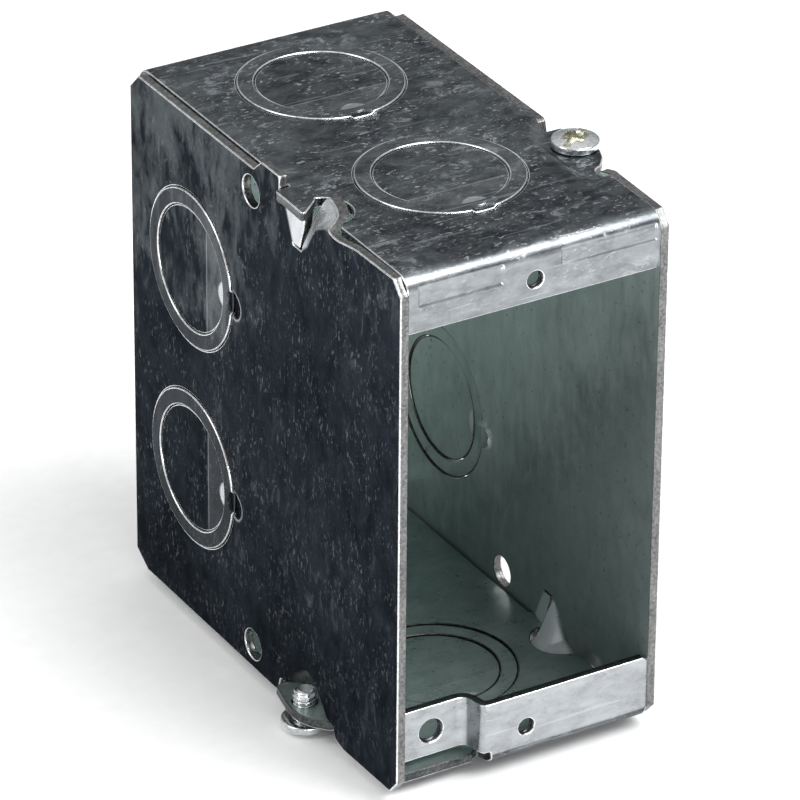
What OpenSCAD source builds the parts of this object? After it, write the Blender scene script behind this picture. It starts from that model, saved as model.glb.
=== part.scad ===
// Gangable sheet-steel electrical box for one wiring device.
// Frame: +Z is up, the open front faces -Y, the origin is the centre of the
// outer face of the back wall. All lengths are millimetres.

/* [Box] */
// overall height over the top and bottom walls
box_h = 95.25; // [88:0.25:104]
// overall depth from the front edges to the back wall
box_d = 88.9; // [84:0.1:96]
// overall width over the two side plates
box_w = 50.8; // [48:0.1:56]
// thickness of every sheet
sheet_t = 1.6; // [1.2:0.05:1.8]
// outer radius of the wall bends
bend_r = 3; // [2.2:0.1:4]
// air gap between a wall edge and the side plate beside it
plate_gap = 0.3; // [0.1:0.05:0.5]

/* [Front flanges] */
// height of the top flange
top_flange_h = 10; // [8:0.1:11]
// height of the bottom flange
low_flange_h = 12.2; // [10:0.1:13]
// distance between the two device screw holes
device_spacing = 83.3; // [82:0.1:84]
// radius of a device screw hole
device_hole_r = 1.42; // [1.2:0.01:1.8]
// how far the grounding tab is set back behind the flange
tab_setback = 4.5; // [3.5:0.1:5]
// x of the grounding screw hole
ground_x = -15.6; // [-17:0.1:-14]
// radius of the grounding screw hole
ground_hole_r = 2.1; // [1.8:0.01:2.4]
// x where the grounding tab leaves the flange
tab_x = -7.6; // [-9:0.1:-6]

/* [Knockouts] */
// radius of a knockout ring
ring_r = 14.1; // [13:0.1:15]
// radius of the disc inside a ring
disc_r = 11.1; // [10.5:0.1:11.5]
// sheared gap around a ring and around a disc
ko_gap = 0.15; // [0.12:0.01:0.25]
// distance of the front knockouts behind the front edge
ko_front = 29.8; // [27:0.1:32]
// distance of the rear knockouts behind the front edge
ko_rear = 68.6; // [66:0.1:70]
// height of the side knockouts above and below the middle
ko_side_z = 19.05; // [18:0.05:20]

/* [Gang screws] */
// distance of the screw axis behind the front edge
screw_y = 29.5; // [28.5:0.1:30.5]
// radius of the screw thread
thread_r = 2.03; // [1.9:0.01:2.1]
// radial play of the thread in its tapped ear
thread_play = 0.05; // [0.02:0.01:0.1]
// length of the screw below its head
screw_len = 5.5; // [5:0.1:6.3]
// radius of the screw head
head_r = 4.07; // [3.8:0.01:4.3]
// height of the screw head
head_h = 1.9; // [1.6:0.05:2.4]
// width of the screwdriver slot
slot_w = 1.3; // [1:0.05:1.5]
// how far the bottom screw is backed off its ear
low_backed_off = 1.4; // [0.1:0.1:2]
// how deep an ear is dished below the wall
ear_dish = 1.4; // [1:0.05:1.5]
// how far an ear reaches past the side plate
ear_reach = 3.1; // [3:0.05:3.4]

/* [Side plates] */
// how far the front of a side plate leans inward
toe_in = 0.45; // [0.2:0.05:0.5]
// distance behind the front edge where the plate starts to lean
toe_start = 22.5; // [20:0.1:24]
// how far the plate stays below the wall surface at top and bottom
plate_drop = 0.2; // [0.1:0.05:0.4]
// how far the hook tab rises past the plate edge
tab_rise = 2.3; // [1.5:0.1:2.6]
// radius of the small round holes
pilot_r = 2.75; // [2.5:0.05:3]
// distance of the small holes behind the front edge
pilot_y = 47.2; // [46.5:0.1:48]
// height of the small holes above and below the middle
pilot_z = 42.95; // [42:0.05:43.5]
// angle of the bent flap beside the hook slit
flap_angle = 25; // [10:1:28]

/* [Hidden] */
$fn = 96;
EPS = 0.01;
half_h = box_h / 2;
half_w = box_w / 2;
wall_x = half_w - sheet_t - plate_gap;     // x of the wall edges
inner_z = half_h - sheet_t;                // inner face of the walls
flange_y = 0.3;                            // flange face behind the front edge
cut_y = 3.4;                               // plain cut edge beside the ground tab
ear_out = half_h - ear_dish;               // outer face of a dished ear
ear_in = ear_out - sheet_t;                // inner face of a dished ear
plate_z = half_h - plate_drop;             // half height of a side plate
plate_back = box_d - 0.4;                  // rear edge of a side plate
slit_y = 30.6;                             // front side of the hook slit
slit_w = 0.6;                              // width of the hook slit
slit_z = 39.5;                             // blind end of the hook slit
claw_y = 37.6;                             // rear end of the wall claw
ko_side_y = ko_rear - 0.4;                 // side knockouts behind the front edge
lug_y = 27;                                // middle of the hook pocket
pocket_y = 29.4;                           // middle of the screw pocket
pocket_z = 38.3;                           // blind end of the screw pocket

// ---------- helpers (local y is measured back from the front edge) ----------

// a flat outline in Y and Z, swept along X
module side_prism(x0, x1) {
  translate([x0, 0, 0])
    rotate([90, 0, 90])
      linear_extrude(x1 - x0)
        children();
}

// a flat outline in X and Y, swept along Z
module plan_prism(z0, z1) {
  translate([0, 0, z0])
    linear_extrude(z1 - z0)
      children();
}

// a rectangle with round corners between two corner points
module round_rect(y0, z0, y1, z1, r) {
  translate([y0 + r, z0])
    square([y1 - y0 - 2 * r, z1 - z0]);
  translate([y0, z0 + r])
    square([y1 - y0, z1 - z0 - 2 * r]);
  for (y = [y0 + r, y1 - r])
    for (z = [z0 + r, z1 - r])
      translate([y, z])
        circle(r);
}

// the place of a feature and its half-turn copy about the Y axis
module both_ends() {
  children();
  rotate([0, 180, 0])
    children();
}

// ---------- body ----------

// the wrapped sheet seen from the side: top, back, bottom and front flanges
module wrap_outline() {
  difference() {
    round_rect(flange_y, -half_h, box_d, half_h, bend_r);
    round_rect(flange_y + sheet_t, -inner_z, box_d - sheet_t, inner_z,
               bend_r - sheet_t);
    translate([flange_y - 1, low_flange_h - half_h])
      square([sheet_t + 2, box_h - low_flange_h - top_flange_h]);
  }
}

// the grounding tab, joggled back from the bottom flange
module ground_tab() {
  back = flange_y + tab_setback;
  plan_prism(2.9 - half_h, low_flange_h - half_h)
    polygon([[tab_x + 0.8, flange_y],
             [tab_x - 0.7, flange_y + 0.5],
             [tab_x - 1.3, flange_y + 1.7],
             [tab_x - 1.5, back - 0.9],
             [tab_x - 2.2, back],
             [0.3 - wall_x, back],
             [0.3 - wall_x, back + sheet_t],
             [tab_x - 1.6, back + sheet_t],
             [tab_x - 0.3, back + 0.8],
             [tab_x + 0.2, back - 0.2],
             [tab_x + 0.4, flange_y + 2.1],
             [tab_x + 0.8, flange_y + sheet_t]]);
}

// the dished ear of a wall, drawn for the right end of the top wall
module ear_dish_outline(grow) {
  polygon([[18.4 - grow, 17.5 - grow],
           [20.2 - grow, 15.4 - grow],
           [wall_x + 0.6, 15.4 - grow],
           [wall_x + 0.6, 37 + grow],
           [21 - grow, 36.6 + grow],
           [18.4 - grow, 33 + grow]]);
}

module ear_lobe_outline() {
  out = half_w + ear_reach;
  polygon([[wall_x - 1, 36.4],
           [half_w + 1.7, 36.4],
           [out - 0.2, 30.8],
           [out, 28.6],
           [out - 0.2, 26.4],
           [out - 1.2, 23.9],
           [half_w, 21.6],
           [wall_x - 1, 20.9]]);
}

module ear_cut() {
  plan_prism(ear_out, half_h + 1)
    ear_dish_outline(0);
}

module ear_add() {
  intersection() {
    plan_prism(ear_in, ear_out)
      ear_dish_outline(1.2);
    cube([wall_x, box_d, half_h]);
  }
  plan_prism(ear_in, ear_out)
    ear_lobe_outline();
}

module ear_hole() {
  translate([half_w, screw_y, ear_in - 1])
    cylinder(r = thread_r + thread_play, h = sheet_t + 3);
}

// the hook end of a wall, drawn for the right end of the bottom wall
module hook_cut() {
  translate([wall_x - 0.2, lug_y + 0.3, -half_h - 1])
    cylinder(r = 5.2, h = sheet_t + 2);
}

module hook_claw() {
  plan_prism(-half_h, -inner_z)
    polygon([[wall_x - 1.2, claw_y],
             [half_w + 0.7, claw_y],
             [half_w + 1, claw_y - 0.8],
             [half_w + 1, 28.2],
             [half_w - 3.2, 31.8],
             [wall_x - 1.2, 33]]);
}

// holes left for the knockouts of the top wall or the bottom wall
module wall_ko_holes() {
  for (y = [ko_front, ko_rear])
    translate([0, y, inner_z - 1])
      cylinder(r = ring_r + ko_gap, h = sheet_t + 2);
}

module body() {
  color([0.62, 0.66, 0.68])
    translate([0, -box_d, 0])
      difference() {
        union() {
          difference() {
            side_prism(-wall_x, wall_x)
              wrap_outline();
            both_ends()
              ear_cut();
            both_ends()
              hook_cut();
            translate([-wall_x - 1, -1, -half_h - 1])
              cube([wall_x + 1 + tab_x, cut_y + 1, low_flange_h + 2]);
            translate([tab_x - 1, -1, -half_h - 1])
              cube([2.2, cut_y, 3.4]);
          }
          both_ends()
            ear_add();
          both_ends()
            hook_claw();
          ground_tab();
        }
        both_ends()
          wall_ko_holes();
        both_ends()
          ear_hole();
        for (side = [-1, 1])
          translate([0, -1, side * device_spacing / 2])
            rotate([-90, 0, 0])
              cylinder(r = device_hole_r, h = sheet_t + 3);
        translate([ground_x, flange_y + tab_setback - 1, 7.5 - half_h])
          rotate([-90, 0, 0])
            cylinder(r = ground_hole_r, h = sheet_t + 2);
      }
}

// ---------- side plates ----------

// outline of the right plate: screw end up, hook end down
module plate_outline() {
  polygon([[0, 45.1 - half_h + plate_z],
           [2.2, plate_z],
           [16.9, plate_z],
           [19.5, plate_z - 0.8],
           [20.3, ear_in],
           [37.8, ear_in],
           [38.5, plate_z - 0.4],
           [39.2, plate_z],
           [plate_back - 4, plate_z],
           [plate_back, plate_z - 2.6],
           [plate_back, 2.9 - plate_z],
           [plate_back - 2.9, -plate_z],
           [46.4, -plate_z],
           [43.8, -plate_z - tab_rise],
           [claw_y + 0.2, -plate_z - tab_rise],
           [claw_y + 0.2, -inner_z],
           [slit_y + slit_w, -inner_z],
           [slit_y + slit_w, -slit_z],
           [slit_y, -slit_z],
           [slit_y, -plate_z],
           [2.4, -plate_z],
           [0, 2.6 - plate_z]]);
}

// the plate's thickness seen from above: the front strip leans inward
module plate_section() {
  polygon([[half_w, plate_back],
           [half_w, toe_start],
           [half_w - toe_in, 0],
           [half_w - toe_in - sheet_t, 0],
           [half_w - sheet_t, toe_start],
           [half_w - sheet_t, plate_back]]);
}

// the pocket pressed inward around the screw
module screw_pocket(grow) {
  off = 3.1;
  translate([half_w + off, pocket_y, pocket_z])
    cylinder(r1 = off + grow, r2 = off + 4.8 + grow, h = ear_in - pocket_z);
}

// the pocket pressed inward in front of the hook slit
module hook_pocket(grow) {
  translate([half_w + 0.6, lug_y, -plate_z])
    cylinder(r1 = 4.6 + grow, r2 = 0.6 + grow, h = plate_z - slit_z);
}

// triangle of sheet beside the slit, lying in the plate's plane
module flap_outline(grow) {
  polygon([[36.2 + grow, -inner_z],
           [slit_y + slit_w + 1.2 + grow, -slit_z - 0.2],
           [slit_y + slit_w, -slit_z - 0.2],
           [slit_y + slit_w, -inner_z]]);
}

// the same triangle folded inward about its slanted edge
module flap_folded() {
  dy = 36.2 - slit_y - slit_w - 1.2;
  dz = inner_z - slit_z - 0.2;
  lean = atan(dy / dz);
  translate([half_w, 36.2, -inner_z])
    rotate([lean, 0, 0])
      rotate([0, 0, flap_angle])
        rotate([-lean, 0, 0])
          translate([-half_w, -36.2, inner_z])
            side_prism(half_w - sheet_t, half_w)
              flap_outline(0);
}

module plate() {
  difference() {
    union() {
      difference() {
        intersection() {
          plan_prism(-plate_z - tab_rise, plate_z)
            plate_section();
          side_prism(half_w - 4, half_w + 1)
            plate_outline();
        }
        screw_pocket(0);
        hook_pocket(0);
        side_prism(half_w - 4, half_w + 1)
          flap_outline(0.4);
      }
      difference() {
        intersection() {
          screw_pocket(1.7);
          cube([half_w - 0.1, box_d, ear_in]);
        }
        screw_pocket(0);
      }
      difference() {
        intersection() {
          hook_pocket(1.5);
          translate([0, 0, -plate_z])
            cube([half_w - 0.1, slit_y, plate_z - slit_z]);
        }
        hook_pocket(0);
      }
      intersection() {
        flap_folded();
        translate([0, 0, -inner_z])
          cube([half_w, box_d, inner_z - slit_z]);
      }
    }
    for (side = [-1, 1])
      translate([half_w - 5, ko_side_y, side * ko_side_z])
        rotate([0, 90, 0])
          cylinder(r = ring_r + ko_gap, h = 8);
    for (side = [-1, 1])
      translate([half_w - 5, pilot_y, side * pilot_z])
        rotate([0, 90, 0])
          cylinder(r = pilot_r, h = 8);
  }
}

module right_side_plate() {
  color([0.5, 0.54, 0.57])
    translate([0, -box_d, 0])
      plate();
}

module left_side_plate() {
  color([0.5, 0.54, 0.57])
    translate([0, -box_d, 0])
      rotate([0, 180, 0])
        plate();
}

// ---------- gang screws ----------

// a screw standing on its washer face, thread down
module gang_screw() {
  difference() {
    union() {
      cylinder(r = head_r, h = 0.7 * head_h);
      translate([0, 0, 0.7 * head_h - EPS])
        cylinder(r1 = head_r, r2 = head_r - 0.7, h = 0.3 * head_h + EPS);
      translate([0, 0, 0.5 - screw_len])
        cylinder(r = thread_r, h = screw_len);
      translate([0, 0, -screw_len])
        cylinder(r1 = thread_r - 0.5, r2 = thread_r, h = 0.5 + EPS);
    }
    rotate([0, 0, 35])
      translate([-head_r - 1, -slot_w / 2, head_h - 0.9])
        cube([2 * head_r + 2, slot_w, 2]);
    rotate([0, 0, 35])
      translate([-1.5, -1.5, head_h - 1.5])
        cube([3, 3, 2]);
  }
}

module top_gang_screw() {
  color([0.8, 0.82, 0.8])
    translate([half_w, screw_y - box_d, ear_out + 0.1])
      gang_screw();
}

module bottom_gang_screw() {
  color([0.8, 0.82, 0.8])
    rotate([0, 180, 0])
      translate([half_w, screw_y - box_d, ear_out + low_backed_off])
        gang_screw();
}

// ---------- knockouts ----------

// ring and disc lie on the inner face of a wall, +Z pointing outward
module ring_shape() {
  color([0.56, 0.6, 0.62])
    difference() {
      cylinder(r = ring_r, h = sheet_t);
      translate([0, 0, -1])
        cylinder(r = disc_r + ko_gap, h = sheet_t + 2);
    }
}

module disc_shape() {
  color([0.6, 0.64, 0.66])
    cylinder(r = disc_r, h = sheet_t);
}

// places for the knockouts: top or bottom wall, and left or right plate
module wall_place(y, side) {
  rotate([0, side > 0 ? 0 : 180, 0])
    translate([0, y - box_d, inner_z])
      children();
}

module plate_place(z, side) {
  translate([side * (half_w - sheet_t), ko_side_y - box_d, z])
    rotate([0, side * 90, 0])
      children();
}

module top_front_ring() {
  wall_place(ko_front, 1) ring_shape();
}

module top_front_disc() {
  wall_place(ko_front, 1) disc_shape();
}

module top_rear_ring() {
  wall_place(ko_rear, 1) ring_shape();
}

module top_rear_disc() {
  wall_place(ko_rear, 1) disc_shape();
}

module bottom_front_ring() {
  wall_place(ko_front, -1) ring_shape();
}

module bottom_front_disc() {
  wall_place(ko_front, -1) disc_shape();
}

module bottom_rear_ring() {
  wall_place(ko_rear, -1) ring_shape();
}

module bottom_rear_disc() {
  wall_place(ko_rear, -1) disc_shape();
}

module left_upper_ring() {
  plate_place(ko_side_z, -1) ring_shape();
}

module left_upper_disc() {
  plate_place(ko_side_z, -1) disc_shape();
}

module left_lower_ring() {
  plate_place(-ko_side_z, -1) ring_shape();
}

module left_lower_disc() {
  plate_place(-ko_side_z, -1) disc_shape();
}

module right_upper_ring() {
  plate_place(ko_side_z, 1) ring_shape();
}

module right_upper_disc() {
  plate_place(ko_side_z, 1) disc_shape();
}

module right_lower_ring() {
  plate_place(-ko_side_z, 1) ring_shape();
}

module right_lower_disc() {
  plate_place(-ko_side_z, 1) disc_shape();
}

body();
left_side_plate();
right_side_plate();
top_gang_screw();
bottom_gang_screw();
top_front_ring();
top_front_disc();
top_rear_ring();
top_rear_disc();
bottom_front_ring();
bottom_front_disc();
bottom_rear_ring();
bottom_rear_disc();
left_upper_ring();
left_upper_disc();
left_lower_ring();
left_lower_disc();
right_upper_ring();
right_upper_disc();
right_lower_ring();
right_lower_disc();
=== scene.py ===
"""Looks of a gangable sheet-steel electrical box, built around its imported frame.

Every sheet is modelled as one flat blank that is triangulated, bent and
pressed by a mapping, then given its thickness with sheared, rolled edges.
Lengths in the shape code are millimetres, with Y measured back from the
front edge; build() turns them into the frame's metres.
"""

import math

import bpy
import numpy as np
from mathutils import Matrix, Vector
from mathutils.geometry import delaunay_2d_cdt


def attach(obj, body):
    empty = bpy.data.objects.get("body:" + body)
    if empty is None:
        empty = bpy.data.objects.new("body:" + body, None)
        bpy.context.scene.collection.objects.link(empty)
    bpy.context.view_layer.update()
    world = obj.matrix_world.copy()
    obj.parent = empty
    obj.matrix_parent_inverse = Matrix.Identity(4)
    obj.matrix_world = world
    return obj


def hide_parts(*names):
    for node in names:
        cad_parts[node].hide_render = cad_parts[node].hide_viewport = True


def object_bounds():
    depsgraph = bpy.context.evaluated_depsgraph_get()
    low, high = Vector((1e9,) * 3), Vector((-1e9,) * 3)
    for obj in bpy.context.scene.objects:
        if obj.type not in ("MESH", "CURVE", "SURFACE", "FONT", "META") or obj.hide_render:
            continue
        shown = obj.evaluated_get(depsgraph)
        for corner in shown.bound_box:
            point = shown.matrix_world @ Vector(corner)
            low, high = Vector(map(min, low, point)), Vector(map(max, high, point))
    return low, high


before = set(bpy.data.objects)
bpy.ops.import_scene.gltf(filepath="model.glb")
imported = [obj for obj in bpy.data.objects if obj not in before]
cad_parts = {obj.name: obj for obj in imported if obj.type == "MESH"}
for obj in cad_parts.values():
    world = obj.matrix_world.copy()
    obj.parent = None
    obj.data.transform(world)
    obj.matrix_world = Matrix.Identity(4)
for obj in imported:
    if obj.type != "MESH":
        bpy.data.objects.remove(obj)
cad_low, cad_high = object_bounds()

# ---------- sizes, the same as the CAD model's ----------
HALF_H = 47.625
HALF_W = 25.4
DEPTH = 88.9
SHEET = 1.6
BEND = 3.0
WALL_X = 23.5
INNER_Z = HALF_H - SHEET
FLANGE_Y = 0.3
TOP_FLANGE = 10.0
LOW_FLANGE = 12.2
DEVICE_Z = 83.3 / 2
DEVICE_R = 1.42
CUT_Y = 3.4
TAB_X = -7.6
TAB_BACK = 4.5
GROUND_X = -15.6
GROUND_R = 2.1
RING_R = 14.1
DISC_R = 11.1
KO_FRONT = 29.8
KO_REAR = 68.6
KO_SIDE = 68.2
KO_SIDE_Z = 19.05
PRY_R = 2.3          # round pry mark on a knockout's front edge
PRY_AT = RING_R + 0.8
MOAT = 0.26
SCREW_Y = 29.5
THREAD_R = 2.03
THREAD_GAP = 0.05
SCREW_LEN = 5.5
HEAD_R = 4.07
HEAD_H = 1.9
SLOT_W = 1.3
BACKED_OFF = 1.4
EAR_DISH = 1.4
EAR_REACH = 3.1
EAR_OUT = HALF_H - EAR_DISH
EAR_IN = EAR_OUT - SHEET
TOE_IN = 0.45
TOE_START = 22.5
PLATE_Z = HALF_H - 0.2
PLATE_BACK = DEPTH - 0.4
TAB_RISE = 2.3
PILOT_R = 2.75
PILOT_Y = 47.2
PILOT_Z = 42.95
SLIT_Y = 30.6
SLIT_W = 0.6
SLIT_Z = 39.5
CLAW_Y = 37.6
LUG_Y = 27.0
POCKET_Y = 29.0
POCKET_Z = 38.3
POCKET_R = 3.1
PITCH = 0.79

# ---------- camera ----------
CAMERA_AT = (-0.45808, -0.81869, 0.49768)
CAMERA_AZ = math.radians(-30.69)
CAMERA_EL = math.radians(29.02)
CAMERA_ROLL = math.radians(0.487)
LENS = 277.2


def make_camera():
    data = bpy.data.cameras.new("camera")
    data.lens = LENS
    data.sensor_width = 36.0
    data.clip_start = 0.05
    data.clip_end = 20.0
    camera = bpy.data.objects.new("camera", data)
    bpy.context.scene.collection.objects.link(camera)
    aim = Vector((-math.sin(CAMERA_AZ) * math.cos(CAMERA_EL),
                  math.cos(CAMERA_AZ) * math.cos(CAMERA_EL),
                  -math.sin(CAMERA_EL)))
    flat_right = aim.cross(Vector((0, 0, 1))).normalized()
    flat_up = flat_right.cross(aim)
    c, s = math.cos(CAMERA_ROLL), math.sin(CAMERA_ROLL)
    right = flat_right * c + flat_up * s
    up = flat_up * c - flat_right * s
    turn = Matrix((right, up, -aim)).transposed().to_4x4()
    camera.matrix_world = Matrix.Translation(CAMERA_AT) @ turn
    bpy.context.scene.camera = camera


make_camera()


# ---------- flat outlines ----------
def arc(cx, cy, r, start, end, n=24):
    turns = np.radians(np.linspace(start, end, n + 1))
    return [(cx + r * math.cos(t), cy + r * math.sin(t)) for t in turns]


def circle(cx, cy, r, n=96):
    return arc(cx, cy, r, 0, 360, n)[:-1]


def fillet(points, r=0.4, n=4):
    """Rounds the corners of a closed outline; a point may carry its own radius."""
    out = []
    count = len(points)
    for i in range(count):
        p = np.array(points[i][:2], float)
        radius = points[i][2] if len(points[i]) > 2 else r
        a = np.array(points[i - 1][:2], float) - p
        b = np.array(points[(i + 1) % count][:2], float) - p
        la, lb = np.linalg.norm(a), np.linalg.norm(b)
        a, b = a / la, b / lb
        half = math.acos(float(np.clip(a @ b, -1, 1))) / 2
        if radius <= 0 or half > math.radians(86):
            out.append(tuple(p))
            continue
        back = min(radius / math.tan(half), 0.48 * la, 0.48 * lb)
        radius = back * math.tan(half)
        middle = (a + b) / np.linalg.norm(a + b)
        centre = p + middle * (radius / math.sin(half))
        first, last = p + a * back - centre, p + b * back - centre
        for k in range(n + 1):
            v = first * (1 - k / n) + last * (k / n)
            out.append(tuple(centre + v / np.linalg.norm(v) * radius))
    return out


def dense(points, step):
    """The closed outline with no side longer than step."""
    pts = np.array(points, float)
    out = []
    for p, q in zip(pts, np.roll(pts, -1, 0)):
        length = np.linalg.norm(q - p)
        if length < 1e-6:
            continue
        n = max(1, math.ceil(length / step))
        out += [p + (q - p) * (k / n) for k in range(n)]
    return np.array(out)


def signed_area(loop):
    x, y = loop[:, 0], loop[:, 1]
    return 0.5 * float(np.sum(x * np.roll(y, -1) - y * np.roll(x, -1)))


def inset(loop, amount):
    """The outline moved to its left, which is the side the material is on."""
    forward = np.roll(loop, -1, 0) - loop
    forward /= np.linalg.norm(forward, axis=1)[:, None]
    left = np.stack([-forward[:, 1], forward[:, 0]], 1)
    before = np.roll(left, 1, 0)
    share = 1 + np.sum(left * before, 1)
    return loop + amount * (left + before) / np.maximum(share, 0.4)[:, None]


def in_region(points, loops):
    """Which points the loops enclose by the even-odd rule, and how far each is from them."""
    inside = np.zeros(len(points), bool)
    near = np.full(len(points), 1e9)
    a = np.concatenate(loops)
    b = np.concatenate([np.roll(q, -1, 0) for q in loops])
    for i in range(0, len(points), 4000):
        p = points[i:i + 4000, None, :]
        up = (a[None, :, 1] > p[..., 1]) != (b[None, :, 1] > p[..., 1])
        run = b[:, 1] - a[:, 1]
        run = np.where(np.abs(run) < 1e-12, 1e-12, run)
        at = a[:, 0] + (p[..., 1] - a[:, 1]) / run * (b[:, 0] - a[:, 0])
        inside[i:i + 4000] = (np.sum(up & (p[..., 0] < at), 1) % 2) == 1
        d = b - a
        t = np.sum((p - a) * d, 2) / np.maximum(np.sum(d * d, 1), 1e-12)
        t = np.clip(t, 0, 1)[..., None]
        gap = np.linalg.norm(p - (a + t * d), axis=2)
        near[i:i + 4000] = gap.min(1)
    return inside, near


def smooth(t):
    t = np.clip(t, 0, 1)
    return t * t * (3 - 2 * t)


def soft_box(x, low, high, ramp):
    return smooth((x - low) / ramp + 0.5) * smooth((high - x) / ramp + 0.5)


def soft_plus(x, width):
    """max(x, 0) with a rounded corner."""
    return 0.5 * (x + np.sqrt(x * x + width * width)) - 0.5 * width * np.exp(-np.abs(x) / width)


def depth_inside(points, polygon):
    """Distance inside a polygon, negative outside it."""
    loop = np.array(polygon, float)
    inside, near = in_region(points, [loop])
    return np.where(inside, near, -near)


# ---------- sheet meshes ----------
ROLL = 0.2
ROLL_STEPS = (22.5, 45.0, 67.5, 90.0)


def edge_profile(thickness, threaded):
    """Points over a sheared edge from the outer face to the inner one: (outward, down)."""
    points = [(-ROLL + ROLL * math.sin(math.radians(a)), ROLL - ROLL * math.cos(math.radians(a)))
              for a in ROLL_STEPS]
    if threaded:
        levels = int((thickness - 2 * ROLL) / 0.07)
        points += [(0.0, ROLL + (thickness - 2 * ROLL) * k / levels) for k in range(1, levels + 1)]
        points += [(-0.5 * ROLL, thickness - 0.3 * ROLL)]
    else:
        points += [(-0.01, 0.36 * thickness), (-0.07, 0.46 * thickness),
                   (-0.07, 0.8 * thickness), (-0.03, thickness - 0.1),
                   (-0.11, thickness - 0.02)]
    return points


def build(name, verts, faces, kinds, materials, normals=None, values=None):
    """A mesh object from millimetre points; kinds gives each face's material."""
    mesh = bpy.data.meshes.new(name)
    points = np.array(verts, float)
    points = np.stack([points[:, 0], points[:, 1] - DEPTH, points[:, 2]], 1) * 0.001
    mesh.from_pydata(points.tolist(), [], faces)
    for m in materials:
        mesh.materials.append(m)
    mesh.polygons.foreach_set("material_index", np.array(kinds, np.int32))
    mesh.polygons.foreach_set("use_smooth", np.ones(len(faces), bool))
    for key, numbers in (values or {}).items():
        layer = mesh.attributes.new(key, "FLOAT", "POINT")
        layer.data.foreach_set("value", np.array(numbers, np.float32))
    mesh.update()
    if normals is not None:
        mesh.normals_split_custom_set_from_vertices(np.array(normals).tolist())
    obj = bpy.data.objects.new(name, mesh)
    bpy.context.scene.collection.objects.link(obj)
    return obj


def facing_up(flat, triangles):
    """The triangles of a plan, all turned counter-clockwise."""
    (ax, ay), (bx, by) = ((flat[triangles[:, k]] - flat[triangles[:, 0]]).T for k in (1, 2))
    clockwise = ax * by - ay * bx < 0
    triangles[clockwise] = triangles[clockwise][:, ::-1]
    return triangles


def half_turned(points):
    return np.stack([-points[:, 0], points[:, 1], -points[:, 2]], 1)


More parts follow.
